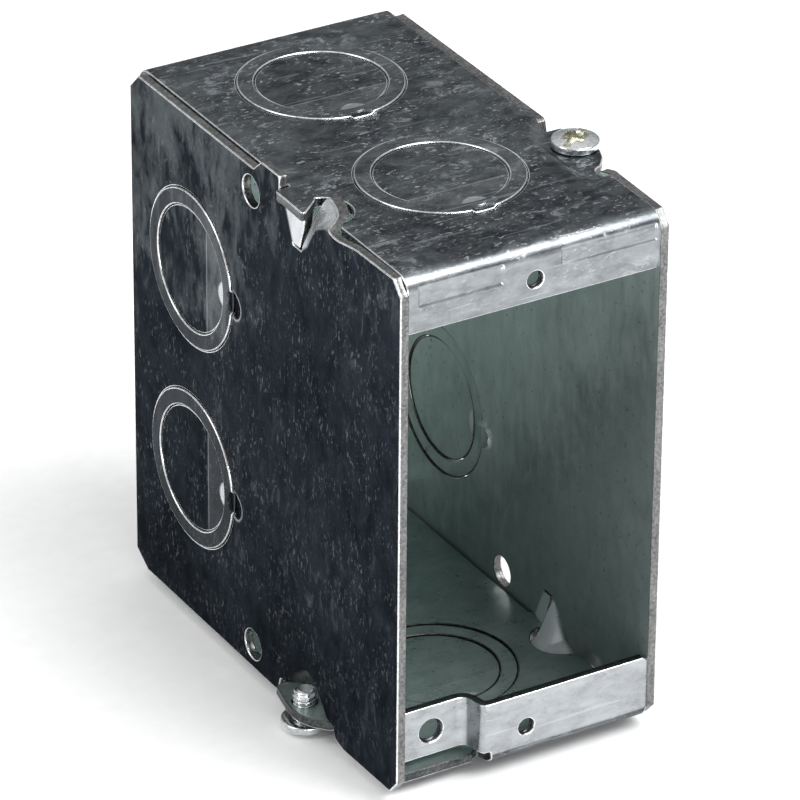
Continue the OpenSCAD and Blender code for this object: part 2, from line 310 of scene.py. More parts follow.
def sheet(name, loops, surface, grid, materials, fine=(), thickness=SHEET, step=0.7,
          threads=(), turned=False, tone=None, straight=None):
    """Triangulates a blank, maps it onto its surface and gives it its thickness.

    loops: the outline, then the holes. surface: (n, 2) -> (n, 3) for the outer face.
    grid: (u values, v values). fine: (u0, u1, v0, v1, step) patches.
    threads: {loop number: thread height} for tapped holes.
    straight: the direction of the thickness where steep presswork would fold an offset face.
    """
    true = []
    for i, loop in enumerate(loops):
        q = dense(loop, step)
        if (signed_area(q) > 0) != (i == 0):
            q = q[::-1]
        true.append(q)
    inner = [inset(q, ROLL) for q in true]
    uu, vv = np.meshgrid(grid[0], grid[1])
    points = np.stack([uu.ravel(), vv.ravel()], 1)
    spacing = np.full(len(points), step)
    for u0, u1, v0, v1, s in fine:
        keep = ~((points[:, 0] > u0) & (points[:, 0] < u1) & (points[:, 1] > v0) & (points[:, 1] < v1))
        points, spacing = points[keep], spacing[keep]
        nu, nv = max(2, round((u1 - u0) / s) + 1), max(2, round((v1 - v0) / s) + 1)
        a, b = np.meshgrid(np.linspace(u0, u1, nu), np.linspace(v0, v1, nv))
        points = np.concatenate([points, np.stack([a.ravel(), b.ravel()], 1)])
        spacing = np.concatenate([spacing, np.full(a.size, s)])
    inside, near = in_region(points, inner)
    points = points[inside & (near > 0.45 * spacing)]
    flat = np.concatenate(inner + [points])
    edges, starts, at = [], [], 0
    for q in inner:
        n = len(q)
        starts.append(at)
        edges += [(at + k, at + (k + 1) % n) for k in range(n)]
        at += n
    out = delaunay_2d_cdt([Vector(p) for p in flat], edges, [], 0, 1e-5)
    if len(out[0]) != len(flat):
        raise ValueError(f"{name}: the outline crosses itself")
    flat_out = np.array([tuple(p) for p in out[0]])
    order = np.array([ids[0] for ids in out[3]])
    triangles = np.array(out[2], int)
    centre = flat_out[triangles].mean(1)
    kept, _ = in_region(centre, inner)
    triangles = facing_up(flat, order[triangles[kept]])

    def framed(uv):
        e = 0.02
        p = surface(uv)
        pu = surface(uv + [e, 0]) - surface(uv - [e, 0])
        pv = surface(uv + [0, e]) - surface(uv - [0, e])
        normal = np.cross(pu, pv)
        return p, normal / np.linalg.norm(normal, axis=1)[:, None]

    n = len(flat)
    outer, normal = framed(flat)

    def inward(at_normal):
        if straight is None:
            return -at_normal
        lean = np.abs(at_normal @ np.array(straight))
        return np.outer(np.minimum(1 / np.maximum(lean, 0.1), 1.35), straight)

    verts = [outer, outer + inward(normal) * thickness]
    normals = [normal, -normal]
    # painted light and shade from the tone function; the inner face takes only the painted highlights
    light_paint = np.zeros(n) if tone is None else tone(flat)
    tones = [light_paint, np.maximum(light_paint, 0)]
    faces = triangles.tolist() + (triangles[:, ::-1] + n).tolist()
    kinds = [0] * len(triangles) + [1] * len(triangles)
    total = 2 * n
    for i, (q, r) in enumerate(zip(true, inner)):
        m = len(q)
        edge, edge_normal = framed(q)
        start = surface(r)
        outward = edge - start
        outward -= edge_normal * np.sum(outward * edge_normal, 1)[:, None]
        outward /= np.linalg.norm(outward, axis=1)[:, None]
        height = dict(threads).get(i)
        profile = edge_profile(thickness, height is not None)
        rings = [starts[i] + np.arange(m)]
        around = np.arange(m) / m
        for o, d in profile:
            shift = np.full(m, o)
            if height is not None and ROLL < d < thickness - ROLL:
                phase = (d / PITCH + around) % 1.0
                shift = shift + height * smooth(1 - np.abs(phase - 0.5) * 2.2)
            verts.append(edge + outward * shift[:, None] + inward(edge_normal) * d)
            normals.append(np.zeros((m, 3)))
            tones.append(np.zeros(m) if tone is None else tone(q))
            rings.append(total + np.arange(m))
            total += m
        rings.append(n + starts[i] + np.arange(m))
        for k, (a, b) in enumerate(zip(rings, rings[1:])):
            a2, b2 = np.roll(a, -1), np.roll(b, -1)
            faces += np.stack([a, b, b2, a2], 1).tolist()
            kinds += [2 if k < len(ROLL_STEPS) else 3] * m
    verts, normals = np.concatenate(verts), np.concatenate(normals)
    if turned:
        verts, normals = half_turned(verts), half_turned(normals)
    return build(name, verts, faces, kinds, materials, normals, {"tone": np.concatenate(tones)})


# ---------- materials ----------
# painted shade colour, mixed in where the tone attribute is negative (the pry marks)
SHADE = (0.012, 0.014, 0.018)


def nodes_of(name):
    material = bpy.data.materials.new(name)
    material.use_nodes = True
    tree = material.node_tree
    return material, tree, tree.nodes["Principled BSDF"]


def light_and_shade_of(tree):
    """The painted highlights (bright) and the painted shade (dark) held in the mesh's tone attribute."""
    painted_light_attr = tree.nodes.new("ShaderNodeAttribute")
    painted_light_attr.attribute_name = "tone"
    bright = maths(tree, "MAXIMUM", painted_light_attr.outputs["Fac"], 0.0)
    shade = maths(tree, "MAXIMUM", maths(tree, "MULTIPLY", painted_light_attr.outputs["Fac"], -1.0), 0.0)
    return bright, shade


def centred(tree, value, amount):
    """(value - 0.5) * amount"""
    return maths(tree, "MULTIPLY", maths(tree, "SUBTRACT", value, 0.5), amount)


def link(tree, a, b):
    tree.links.new(a, b)


def coordinates(tree, scale):
    place = tree.nodes.new("ShaderNodeTexCoord")
    mapping = tree.nodes.new("ShaderNodeMapping")
    mapping.inputs["Scale"].default_value = scale
    link(tree, place.outputs["Object"], mapping.inputs["Vector"])
    return mapping.outputs["Vector"]


def noise(tree, vector, scale, detail=4.0, rough=0.55, distortion=0.0):
    node = tree.nodes.new("ShaderNodeTexNoise")
    node.inputs["Scale"].default_value = scale
    node.inputs["Detail"].default_value = detail
    node.inputs["Roughness"].default_value = rough
    node.inputs["Distortion"].default_value = distortion
    link(tree, vector, node.inputs["Vector"])
    return node.outputs["Fac"]


def cells(tree, vector, scale):
    node = tree.nodes.new("ShaderNodeTexVoronoi")
    node.inputs["Scale"].default_value = scale
    link(tree, vector, node.inputs["Vector"])
    return node


def ramp(tree, value, stops):
    """A colour ramp: [(position, level or colour), ...]."""
    node = tree.nodes.new("ShaderNodeValToRGB")
    elements = node.color_ramp.elements
    while len(elements) < len(stops):
        elements.new(0.5)
    for element, (at, level) in zip(elements, stops):
        element.position = at
        colour = level if isinstance(level, tuple) else (level, level, level)
        element.color = (*colour, 1)
    link(tree, value, node.inputs["Fac"])
    return node.outputs["Color"]


def mix(tree, how, factor, a, b):
    node = tree.nodes.new("ShaderNodeMix")
    node.data_type = "RGBA"
    node.blend_type = how
    for socket, value in ((node.inputs["Factor"], factor), (node.inputs["A"], a), (node.inputs["B"], b)):
        if isinstance(value, (int, float)):
            socket.default_value = value if socket.type == "VALUE" else (value, value, value, 1)
        elif isinstance(value, tuple):
            socket.default_value = (*value, 1)
        else:
            link(tree, value, socket)
    return node.outputs["Result"]


def maths(tree, how, a, b=0.0, clamp=False):
    node = tree.nodes.new("ShaderNodeMath")
    node.operation = how
    node.use_clamp = clamp
    for socket, value in ((node.inputs[0], a), (node.inputs[1], b)):
        if isinstance(value, (int, float)):
            socket.default_value = value
        else:
            link(tree, value, socket)
    return node.outputs[0]


def bump(tree, shader, height, strength, distance):
    node = tree.nodes.new("ShaderNodeBump")
    node.inputs["Strength"].default_value = strength
    node.inputs["Distance"].default_value = distance
    link(tree, height, node.inputs["Height"])
    link(tree, node.outputs["Normal"], shader.inputs["Normal"])


def galvanised(name, dark, light, grain, rough, fleck, scuff=0.0, scratch=0.0, metal=1.0, edge=0.7,
               paler_rear_top=None, lift=0.0, patchy=1.0):
    """Zinc-coated sheet: mottled tone, rolled grain, light flecks, scuffs and scratches.

    grain: how far the texture is squeezed along each axis, so a small number runs along it.
    metal, edge: metallic share and the tint of the reflection at grazing angles.
    paler_rear_top: a paler colour toward the rear and the top, on the inside plates a painted reflection;
    lift moves it, patchy breaks it into clouds.
    """
    material, tree, shader = nodes_of(name)
    even = coordinates(tree, (1, 1, 1))
    along = coordinates(tree, grain)
    cloud = noise(tree, even, 55, 3, 0.5)
    mottle = noise(tree, along, 420, 5, 0.62, 0.3)
    spangle = cells(tree, even, 380)
    grit = noise(tree, along, 2100, 3, 0.6)
    tone = maths(tree, "ADD", maths(tree, "MULTIPLY", cloud, 0.45), maths(tree, "MULTIPLY", mottle, 0.55))
    tone = maths(tree, "ADD", tone, centred(tree, grit, 0.22))
    cell = tree.nodes.new("ShaderNodeSeparateColor")
    link(tree, spangle.outputs["Color"], cell.inputs["Color"])
    tone = maths(tree, "ADD", tone, centred(tree, cell.outputs["Red"], 0.1))
    colour = ramp(tree, tone, [(0.34, dark), (0.66, light)])
    if paler_rear_top is not None:
        # paler toward the rear and the top, in clouds
        split = tree.nodes.new("ShaderNodeSeparateXYZ")
        link(tree, even, split.inputs["Vector"])
        rise = maths(tree, "ADD", maths(tree, "MULTIPLY", split.outputs["Y"], 5.5),
                     maths(tree, "MULTIPLY", split.outputs["Z"], 5.5))
        rise = maths(tree, "ADD", rise, lift)
        rise = maths(tree, "ADD", rise, centred(tree, cloud, 1.2 * patchy))
        rise = maths(tree, "ADD", rise, centred(tree, mottle, patchy))
        colour = mix(tree, "MIX", ramp(tree, rise, [(0.0, 0.0), (0.3, 1.0)]), colour, paler_rear_top)
    bright, shade = light_and_shade_of(tree)
    plain = maths(tree, "SUBTRACT", 1.0, maths(tree, "MULTIPLY", bright, 1.7), True)
    # light flecks, a little longer along the grain
    flecks = ramp(tree, noise(tree, along, 2000, 2, 0.5, 0.6), [(0.6, 0.0), (0.66, 1.0)])
    where = ramp(tree, noise(tree, even, 150, 2, 0.5), [(0.4, 0.0), (0.58, 1.0)])
    flecks = mix(tree, "MULTIPLY", 1.0, flecks, where)
    flecks = mix(tree, "MULTIPLY", 1.0, flecks, plain)
    colour = mix(tree, "MIX", maths(tree, "MULTIPLY", flecks, fleck), colour, (0.42, 0.44, 0.45))
    # torn light scuffs where parts rubbed in the bin
    rub = ramp(tree, noise(tree, along, 420, 6, 0.75, 1.2), [(0.55, 0.0), (0.6, 1.0)])
    patch = ramp(tree, noise(tree, even, 60, 2, 0.5), [(0.47, 0.0), (0.58, 1.0)])
    rub = mix(tree, "MULTIPLY", 1.0, rub, mix(tree, "MULTIPLY", 1.0, patch, plain))
    colour = mix(tree, "MIX", maths(tree, "MULTIPLY", rub, scuff), colour, (0.36, 0.38, 0.4))
    # long fine scratches
    lines = coordinates(tree, (0.05, 1.0, 1.0))
    scratches = ramp(tree, noise(tree, lines, 1100, 1, 0.4, 0.4), [(0.7, 0.0), (0.73, 1.0)])
    colour = mix(tree, "MIX", maths(tree, "MULTIPLY", scratches, scratch), colour, (0.4, 0.42, 0.44))
    # dark pits
    pits = ramp(tree, noise(tree, even, 1300, 2, 0.5), [(0.27, 1.0), (0.33, 0.0)])
    colour = mix(tree, "MIX", maths(tree, "MULTIPLY", pits, 0.55), colour, (0.02, 0.022, 0.025))
    # painted highlights and painted light, where the tone attribute is positive
    painted_light_mix = maths(tree, "MULTIPLY", bright, ramp(tree, mottle, [(0.3, 0.75), (0.6, 1.0)]))
    colour = mix(tree, "MIX", painted_light_mix, colour, (0.68, 0.7, 0.72))
    # painted shade: where the tone attribute is negative (the pry marks) the colour goes to SHADE
    colour = mix(tree, "MIX", shade, colour, SHADE)
    link(tree, colour, shader.inputs["Base Color"])
    gloss = maths(tree, "ADD", maths(tree, "MULTIPLY", mottle, 0.22), rough - 0.11)
    gloss = maths(tree, "ADD", gloss, maths(tree, "MULTIPLY", flecks, 0.1))
    gloss = maths(tree, "SUBTRACT", gloss, maths(tree, "MULTIPLY", bright, 0.08), True)
    link(tree, gloss, shader.inputs["Roughness"])
    metallic = maths(tree, "SUBTRACT", metal, maths(tree, "MULTIPLY", bright, 0.3))
    link(tree, metallic, shader.inputs["Metallic"])
    shader.inputs["Specular Tint"].default_value = (edge, edge, edge, 1)
    height = maths(tree, "ADD", maths(tree, "MULTIPLY", grit, 0.5), maths(tree, "MULTIPLY", mottle, 0.8))
    height = maths(tree, "ADD", height, maths(tree, "MULTIPLY", scratches, 0.5))
    bump(tree, shader, height, 0.22, 0.00012)
    return material


def cut_metal(name, dark, light, rough):
    """A sheared face: bright metal with fine lines across the thickness."""
    material, tree, shader = nodes_of(name)
    along = coordinates(tree, (1, 1, 1))
    fine = noise(tree, along, 1800, 4, 0.65)
    broad = noise(tree, along, 240, 3, 0.5)
    tone = maths(tree, "ADD", maths(tree, "MULTIPLY", fine, 0.75), maths(tree, "MULTIPLY", broad, 0.25))
    _, shade = light_and_shade_of(tree)
    # painted shade on the cut faces at the pry marks
    colour = mix(tree, "MIX", shade, ramp(tree, tone, [(0.38, dark), (0.62, light)]), SHADE)
    link(tree, colour, shader.inputs["Base Color"])
    gloss = maths(tree, "ADD", maths(tree, "MULTIPLY", fine, 0.25), rough - 0.12)
    link(tree, gloss, shader.inputs["Roughness"])
    shader.inputs["Metallic"].default_value = 1.0
    bump(tree, shader, fine, 0.35, 0.0001)
    return material


WALL_GRAIN = (0.5, 1.0, 1.0)
PLATE_GRAIN = (1.0, 1.0, 0.4)
wall_out = galvanised("wall_outside", (0.032, 0.038, 0.045), (0.165, 0.184, 0.196), WALL_GRAIN, 0.33,
                      fleck=0.95, scuff=0.85, scratch=0.4)
# painted light: the inside walls take a much paler, less metallic copy of the zinc colour than the outside
wall_in = galvanised("wall_inside", (0.27, 0.34, 0.325), (0.41, 0.485, 0.47), WALL_GRAIN, 0.3,
                     fleck=0.12, metal=0.78)
plate_out = galvanised("plate_outside", (0.009, 0.012, 0.016), (0.024, 0.031, 0.04), PLATE_GRAIN, 0.34,
                       fleck=0.2, scuff=0.1, edge=0.5, paler_rear_top=(0.085, 0.096, 0.102))
# painted light: the inside plates take a much paler, less metallic copy of the zinc colour, paler still
# toward the rear and top as a painted reflection
plate_in = galvanised("plate_inside", (0.23, 0.285, 0.277), (0.33, 0.395, 0.385), PLATE_GRAIN, 0.32,
                      fleck=0.1, metal=0.58, paler_rear_top=(0.74, 0.85, 0.82), lift=0.4, patchy=0.2)
arris = cut_metal("rolled_edge", (0.5, 0.51, 0.52), (0.9, 0.91, 0.92), 0.22)
cut = cut_metal("sheared_edge", (0.09, 0.092, 0.092), (0.25, 0.25, 0.246), 0.36)
wall_cut = cut_metal("sheared_wall_edge", (0.035, 0.037, 0.04), (0.12, 0.123, 0.125), 0.33)


# ---------- the wrapped sheet ----------
QUARTER = BEND * math.pi / 2
S1 = HALF_H - BEND - (HALF_H - TOP_FLANGE)          # end of the top flange
S2 = S1 + QUARTER                                   # start of the top wall
S3 = S2 + (DEPTH - BEND) - (FLANGE_Y + BEND)        # its end
S4 = S3 + QUARTER
S5 = S4 + 2 * (HALF_H - BEND)
S6 = S5 + QUARTER                                   # start of the bottom wall
S7 = S6 + (S3 - S2)
S8 = S7 + QUARTER                                   # start of the bottom flange
S9 = S8 + LOW_FLANGE - BEND


def top_s(y):
    return S2 + y - (FLANGE_Y + BEND)


def low_s(y):
    return S7 - (y - (FLANGE_Y + BEND))


def wrap_line(s):
    """Place and outward direction of the wrapped sheet's outer face in Y and Z."""
    flat_z = HALF_H - BEND
    y_front, y_back = FLANGE_Y + BEND, DEPTH - BEND
    a1 = np.clip((s - S1) / QUARTER, 0, 1) * math.pi / 2
    a2 = np.clip((s - S3) / QUARTER, 0, 1) * math.pi / 2
    a3 = np.clip((s - S5) / QUARTER, 0, 1) * math.pi / 2
    a4 = np.clip((s - S7) / QUARTER, 0, 1) * math.pi / 2
    turn = a1 + a2 + a3 + a4
    y = -np.cos(turn)
    z = np.sin(turn)
    py = np.select([s < S2, s < S3, s < S6, s < S7],
                   [y_front, y_front + s - S2, y_back, y_back - (s - S6)], y_front)
    pz = np.select([s < S1, s < S4, s < S5, s < S8],
                   [flat_z + s - S1, flat_z, flat_z - (s - S4), -flat_z], -flat_z + (s - S8))
    return py + BEND * y, pz + BEND * z, y, z


def jog_path():
    """Plan of the grounding tab: distance along it -> x and setback."""
    line = [(JOG_X, 0.0), (JOG_X - 2.6, 0.0), (JOG_X - 3.5, TAB_BACK), (-WALL_X + 0.3, TAB_BACK)]
    bent = fillet([(*line[0], 0), (*line[1], 2.0), (*line[2], 1.5), (*line[3], 0)], 0, 12)
    pts = np.array(bent)
    run = np.concatenate([[0], np.cumsum(np.linalg.norm(np.diff(pts, axis=0), axis=1))])
    return run, pts


JOG_X = TAB_X + 1.9
JOG_RUN, JOG_POINTS = jog_path()
TAB_END = JOG_X - JOG_RUN[-1]
EAR_DISH_EDGE = [(18.4, 17.5), (20.2, 15.4), (34, 15.4), (34, 43), (24.8, 41), (18.4, 33)]
STEP_LEFT = (-21.4, -6.0, 42.4, 45.7)
STEP_RIGHT = (4.9, 22.7, 43.0, 45.9)


def pry_dimple(along, across, radius):
    """Depth of the round pry mark on the front edge of the knockout centred on the origin."""
    gap = np.hypot(along + PRY_AT, across) - radius
    return 0.45 * smooth(-gap / 0.3 + 0.3)


def moat(along, across):
    """The sheet is pressed down a little all round a knockout, so the ring stands proud."""
    return MOAT * smooth(1.15 - np.abs(np.hypot(along, across) - RING_R) / 1.9)


def wall_press(x, y):
    """Inward depth of the presswork on the top wall; the bottom wall's is the same, turned."""
    d = EAR_DISH * smooth(depth_inside(np.stack([x, y], 1), EAR_DISH_EDGE) / 2.6 + 0.05)
    for ko in (KO_FRONT, KO_REAR):
        d = d + pry_dimple(y - ko, x, PRY_R) + moat(y - ko, x)
    # the sheet sinks a little beside the hook notch
    d = d + 0.25 * smooth(1 - np.hypot(x + 23, y - LUG_Y) / 8.5)
    return d


def wrap_surface(uv):
    u, s = uv[:, 0], uv[:, 1]
    y, z, ny, nz = wrap_line(s)
    x = u.copy()
    press = np.zeros(len(u))
    top = (s > S1) & (s < S3)
    if top.any():
        press[top] = wall_press(u[top], y[top])
    low = (s > S6) & (s < S8)
    if low.any():
        press[low] = wall_press(-u[low], y[low])
    front = s < S2
    zf = HALF_H - TOP_FLANGE + s
    for x0, x1, z0, z1 in (STEP_LEFT, STEP_RIGHT):
        press = press + front * 0.2 * soft_box(u, x0, x1, 0.4) * soft_box(zf, z0, z1, 0.5)
    press = press + 0.22 * smooth(1 - s / 1.5) * front
    press = press + 0.16 * smooth(1 - (S9 - s) / 1.3)
    tab = (s > S7 + 0.1) & (u < JOG_X)
    run = np.clip(JOG_X - u, 0, JOG_RUN[-1] + 1)
    jx = np.interp(run, JOG_RUN, JOG_POINTS[:, 0]) - np.maximum(run - JOG_RUN[-1], 0)
    jy = np.interp(run, JOG_RUN, JOG_POINTS[:, 1])
    x = np.where(tab, jx, x)
    y = np.where(tab, y + jy, y)
    return np.stack([x, y - press * ny, z - press * nz], 1)


def hook_edge(sign, to_s):
    """Right-hand wall edge past the hook end, from front to rear, in x and Y."""
    notch = arc(WALL_X - 0.2, LUG_Y + 0.4, 5.0, -100, -254, 26)
    points = [(WALL_X, LUG_Y - 5.7, 1.0)] + [(p[0], p[1], 0) for p in notch]
    points += [(22.3, 31.6, 0.3), (26.4, 28.1, 0.5), (26.4, 36.9, 0.4), (26.1, CLAW_Y, 0.5),
               (WALL_X, CLAW_Y, 0.3)]
    return [(sign * p[0], to_s(p[1]), *p[2:]) for p in points]


def ear_edge(sign, to_s):
    """Right-hand wall edge past the screw ear, from front to rear."""
    out = HALF_W + EAR_REACH
    points = [(WALL_X, 20.7, 1.5), (HALF_W, 21.6, 1.2), (out - 1.2, 23.9, 2), (out - 0.2, 26.4, 2),
              (out, 28.6, 2), (out - 0.2, 30.8, 2), (HALF_W + 1.7, 36.4, 0.8), (WALL_X, 36.4, 0.4)]
    return [(sign * p[0], to_s(p[1]), *p[2:]) for p in points]


def wrap_loops():
    c = low_s(CUT_Y)
    right = [(WALL_X, 0, 0.7)]
    right += ear_edge(1, top_s)
    right += hook_edge(1, low_s)[::-1]
    right += [(WALL_X, S9, 0.8)]
    left = [(TAB_END, S9, 0.7), (TAB_END, S8 - 0.1, 0.7), (-7.9, S8 - 0.05, 0.4), (-6.9, S8 + 0.2, 0.4),
            (-6.35, c + 2.8, 0.5), (-6.5, c + 0.4, 0.5), (-6.9, c - 0.9, 0.4), (-8.1, c - 0.7, 0.5),
            (-8.4, c, 0.3), (-WALL_X, c, 0.4)]
    left += ear_edge(-1, low_s)
    left += hook_edge(-1, top_s)[::-1]
    left += [(-WALL_X, 0, 0.7)]
    outline = fillet(right + left, 0.4)
    loops = [outline]
    for y in (KO_FRONT, KO_REAR):
        loops += [circle(0, top_s(y), RING_R + 0.1, 160), circle(0, low_s(y), RING_R + 0.1, 160)]
    tab_hole = JOG_X - (JOG_RUN[-1] - (GROUND_X - (0.3 - WALL_X)))
    loops += [circle(0, DEVICE_Z - (HALF_H - TOP_FLANGE), DEVICE_R + 0.1, 64),
              circle(0, S8 + (HALF_H - BEND - DEVICE_Z), DEVICE_R + 0.1, 64),
              circle(tab_hole, S8 + (HALF_H - BEND - 40.1), GROUND_R + 0.12, 72),
              circle(HALF_W, top_s(SCREW_Y), THREAD_R + THREAD_GAP, 64),
              circle(-HALF_W, low_s(SCREW_Y), THREAD_R + THREAD_GAP, 64)]
    return loops, {5: 0.22, 6: 0.22, 7: 0.28}


def spread(stops):
    """Values between stops [(from, step), ..., (to, 0)], none repeated."""
    out = []
    for (a, step), (b, _) in zip(stops, stops[1:]):
        n = max(1, round((b - a) / step))
        out += [a + (b - a) * k / n for k in range(n)]
    return np.array(out + [stops[-1][0]])


def wrap_tone(uv):
    """Painted highlights along the bends and on the ear-dish slopes, and painted light on the flanges."""
    u, s = uv[:, 0], uv[:, 1]
    bend = sum(np.exp(-((s - m) / 1.5) ** 2) for m in (S1 + 2.3, S3 + 2.3, S5 + 2.3, S7 + 2.3))
    y = FLANGE_Y + BEND + s - S2
    ear = depth_inside(np.stack([u, y], 1), EAR_DISH_EDGE)
    low_y = FLANGE_Y + BEND + S7 - s
    low_ear = depth_inside(np.stack([-u, low_y], 1), EAR_DISH_EDGE)
    slope = np.exp(-((np.maximum(ear, low_ear) - 1.2) / 1.0) ** 2)
    # painted light on the top flange and on the bottom flange with its tab
    flange = np.where(s < S1 + 1.2, 0.28, 0.0) + np.where(s > S8 - 0.6, 0.48, 0.0)
    return np.clip(0.14 * bend + 0.25 * slope + flange, 0, 1)


def make_wrap():
    loops, threads = wrap_loops()
    us = spread([(-32, 1.2), (32, 0)])
    vs = spread([(0, 0.8), (S1, 0.4), (S2, 1.3), (S3, 0.4), (S4, 2.0), (S5, 0.4), (S6, 1.3), (S7, 0.4),
                 (S8, 0.8), (S9, 0)])
    fine = [(16.6, 29, top_s(13.6), top_s(38.4), 0.45), (-29, -16.6, low_s(38.4), low_s(13.6), 0.45),
            (-24, -15, top_s(18), top_s(36), 0.5), (15, 24, low_s(36), low_s(18), 0.5),
            (-22.4, 23.4, 3.4, 9.4, 0.25), (-11.8, -5.8, S7 + 1.0, S9, 0.3)]
    for y in (KO_FRONT, KO_REAR):
        fine.append((-3.4, 3.4, top_s(y - RING_R - 4), top_s(y - RING_R + 0.6), 0.25))
        fine.append((-3.4, 3.4, low_s(y - RING_R + 0.6), low_s(y - RING_R - 4), 0.25))
    return sheet("wrapped_sheet", loops, wrap_surface, (us, vs), [wall_out, wall_in, arris, wall_cut], fine,
                 threads=threads, tone=wrap_tone)


# ---------- side plates ----------
LUG_FOLD = [(31.3, -39.2), (28.9, -41.2), (27.4, -43.8), (26.2, -45.6), (23.8, -46.8), (20.6, -47.9),
            (20.6, -60), (60, -60), (60, -39.2)]
LUG_AT = (39.2, 40.2, 41.0, 42.5, 45.0, 46.3, 47.1, 48.2, 49.5)
LUG_DEPTH = (0.0, 0.5, 0.95, 1.6, 2.6, 3.3, 4.0, 5.0, 5.8)
FLAP_SLOPE = 0.22
FLAP_TOP_Y, FLAP_LOW_Y = 36.2, 33.4


def flap_distance(y, z):
    """Distance of a point in front of the flap's slanted fold line."""
    dy, dz = FLAP_TOP_Y - FLAP_LOW_Y, INNER_Z - SLIT_Z
    return ((FLAP_TOP_Y - y) * dz - (z + INNER_Z) * dy) / math.hypot(dy, dz)


def pocket_cone(y, z):
    """Radius of the half-cone pocket round the screw, and how deep a point is in it."""
    cone = POCKET_R + soft_plus((z - POCKET_Z) / 6.3, 0.12) * 4.8
    return cone, np.sqrt(np.maximum(cone ** 2 - (y - POCKET_Y) ** 2, 0)) - POCKET_R


def plate_press(y, z):
    """Inward depth of the presswork of the right plate; screw end up, hook end down."""
    lean = TOE_IN * soft_plus((TOE_START - y) / TOE_START, 0.03)
    _, inside = pocket_cone(y, z)
    pocket = soft_plus(inside, np.where(y < POCKET_Y, 0.2, 0.6))
    # corner in front of the slit, driven inward under the wall
    beyond = depth_inside(np.stack([y, z], 1), LUG_FOLD)
    lug = np.interp(-z, LUG_AT, LUG_DEPTH) * (1 - np.exp(-soft_plus(beyond, 0.45) / 1.5))
    lug = np.where((y < SLIT_Y + 0.3) & (z < 0), lug, 0)
    # folded flap behind the slit
    fold = FLAP_SLOPE * soft_plus(flap_distance(y, z), 0.2) * smooth((-SLIT_Z - z) / 4)
    fold = np.where((y > SLIT_Y + 0.3) & (z < -SLIT_Z - 0.12) & (y < 37.5), fold, 0)
    # the edge in front of the lug springs outward a little
    spring = 0.9 * smooth((-41.5 - z) / 5) * smooth(1 - np.abs(y - 18.5) / 5.5)
    return lean + pocket + lug + fold - spring


def plate_surface(uv):
    y, z = uv[:, 0], uv[:, 1]
    press = plate_press(y, z)
    for side in (-1, 1):
        press = press + pry_dimple(y - KO_SIDE, z - side * KO_SIDE_Z, PRY_R)
        press = press + moat(y - KO_SIDE, z - side * KO_SIDE_Z)
    return np.stack([HALF_W - press, y, z], 1)


def plate_loops():
    z = PLATE_Z
    outline = [(0, 45.1 - HALF_H + z), (2.2, z), (16.9, z, 1.2), (19.5, z - 0.8, 1.2), (20.3, EAR_IN, 0.5),
               (37.8, EAR_IN, 0.5), (38.5, z - 0.4, 0.6), (39.2, z, 0.5),
               (PLATE_BACK - 4, z), (PLATE_BACK, z - 2.6),
               (PLATE_BACK, 2.9 - z), (PLATE_BACK - 2.9, -z), (46.4, -z, 0.8), (43.8, -z - TAB_RISE, 0.8),
               (CLAW_Y + 0.2, -z - TAB_RISE, 0.5), (CLAW_Y + 0.2, -INNER_Z, 0.4),
               (SLIT_Y + SLIT_W, -INNER_Z, 0.3), (SLIT_Y + SLIT_W, -SLIT_Z - 0.24, 0.2),
               (FLAP_LOW_Y, -SLIT_Z - 0.24, 0), (FLAP_LOW_Y, -SLIT_Z, 0), (SLIT_Y, -SLIT_Z, 0.25),
               (SLIT_Y, -z - 0.75, 0.7), (24, -z - 0.7, 2), (20.6, -z, 2), (2.4, -z), (0, 2.6 - z)]
    loops = [fillet(outline, 0.35)]
    for side in (-1, 1):
        loops.append(circle(KO_SIDE, side * KO_SIDE_Z, RING_R + 0.1, 160))
        loops.append(circle(PILOT_Y, side * PILOT_Z, PILOT_R, 72))
    return loops


def plate_tone(uv):
    y, z = uv[:, 0], uv[:, 1]
    # painted highlight on the folded flap behind the slit
    near_slit = (y > SLIT_Y + 0.3) & (y < 37) & (z < -SLIT_Z - 0.12)
    facet = np.where(near_slit, smooth(flap_distance(y, z) / 0.6 + 0.3), 0)
    # painted highlight on the lug driven in under the wall
    beyond = depth_inside(np.stack([y, z], 1), LUG_FOLD)
    lug = smooth(beyond / 0.6 + 0.6) * (y < SLIT_Y + 0.3) * (z < 0)
    # painted light inside the screw pocket and a painted highlight along its front rim
    cone, inside = pocket_cone(y, z)
    rim = np.exp(-((inside - 0.3) / 0.35) ** 2) * (y < POCKET_Y) * smooth((cone - 3.4) / 1.2)
    pocket = 0.45 * smooth(inside / 1.2) + 0.5 * rim
    # painted shade in the pry marks beside the side knockouts, ringed by a painted highlight
    ring = np.zeros(len(y))
    for side in (-1, 1):
        gap = np.hypot(y - KO_SIDE + PRY_AT, z - side * KO_SIDE_Z) - PRY_R
        ring = ring - 0.95 * smooth(-gap / 0.2 + 0.3) + 0.75 * np.exp(-((gap - 0.2) / 0.16) ** 2)
    return np.clip(0.9 * facet + lug + pocket + ring, -1, 1)


def make_plate(name, turned):
    ys = spread([(0, 1.3), (PLATE_BACK, 0)])
    zs = spread([(-50, 1.3), (50, 0)])
    fine = [(17, 42, 36, 48, 0.26), (18, 38, -50, -38, 0.22)]
    for side in (-1, 1):
        z = side * KO_SIDE_Z
        fine.append((KO_SIDE - RING_R - 4, KO_SIDE - RING_R + 0.6, z - 3.4, z + 3.4, 0.25))
    return sheet(name, plate_loops(), plate_surface, (ys, zs), [plate_out, plate_in, arris, cut], fine,
                 turned=turned, tone=plate_tone, straight=(-1, 0, 0))


